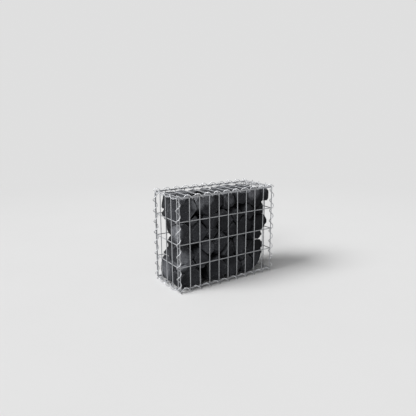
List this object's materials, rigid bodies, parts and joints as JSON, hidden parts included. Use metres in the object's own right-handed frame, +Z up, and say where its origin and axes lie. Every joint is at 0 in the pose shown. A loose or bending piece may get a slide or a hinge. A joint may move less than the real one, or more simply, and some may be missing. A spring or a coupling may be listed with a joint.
{
  "type": "garden gabion",
  "caption": "Small free-standing garden gabion: a box of welded mesh panels laced by spiral wires along every edge, with a lid, packed with dark quarry stone.",
  "frame": {"origin": "centre of the footprint at the level of the lower spirals' undersides, on the ground", "axes": "+X along the wall's length, to the right as seen from the front; +Y towards the back; +Z up"},
  "size_m": [0.5306, 0.2308, 0.4309],
  "materials": {
    "mesh_zinc": "satin",
    "spiral_zinc": "satin",
    "stone": "matte"
  },
  "bodies": {
    "root": {"back_panel": "mesh_zinc", "base_panel": "mesh_zinc", "course_1_back_left": "stone", "course_1_back_middle": "stone", "course_1_back_right": "stone", "course_1_front_left": "stone", "course_1_front_middle": "stone", "course_1_front_right": "stone", "course_2_back_left": "stone", "course_2_back_middle": "stone", "course_2_back_right": "stone", "course_2_front_left": "stone", "course_2_front_middle": "stone", "course_2_front_right": "stone", "course_3_back_left": "stone", "course_3_back_middle": "stone", "course_3_back_right": "stone", "course_3_front_left": "stone", "course_3_front_middle": "stone", "course_3_front_right": "stone", "course_4_back_left": "stone", "course_4_back_middle": "stone", "course_4_back_right": "stone", "course_4_front_left": "stone", "course_4_front_middle": "stone", "course_4_front_right": "stone", "front_panel": "mesh_zinc", "left_panel": "mesh_zinc", "lid_panel": "mesh_zinc", "right_panel": "mesh_zinc", "spiral_back_left": "spiral_zinc", "spiral_back_right": "spiral_zinc", "spiral_bottom_back": "spiral_zinc", "spiral_bottom_front": "spiral_zinc", "spiral_bottom_left": "spiral_zinc", "spiral_bottom_right": "spiral_zinc", "spiral_front_left": "spiral_zinc", "spiral_front_right": "spiral_zinc", "spiral_top_back": "spiral_zinc", "spiral_top_front": "spiral_zinc", "spiral_top_left": "spiral_zinc", "spiral_top_right": "spiral_zinc"}
  },
  "joints": []
}
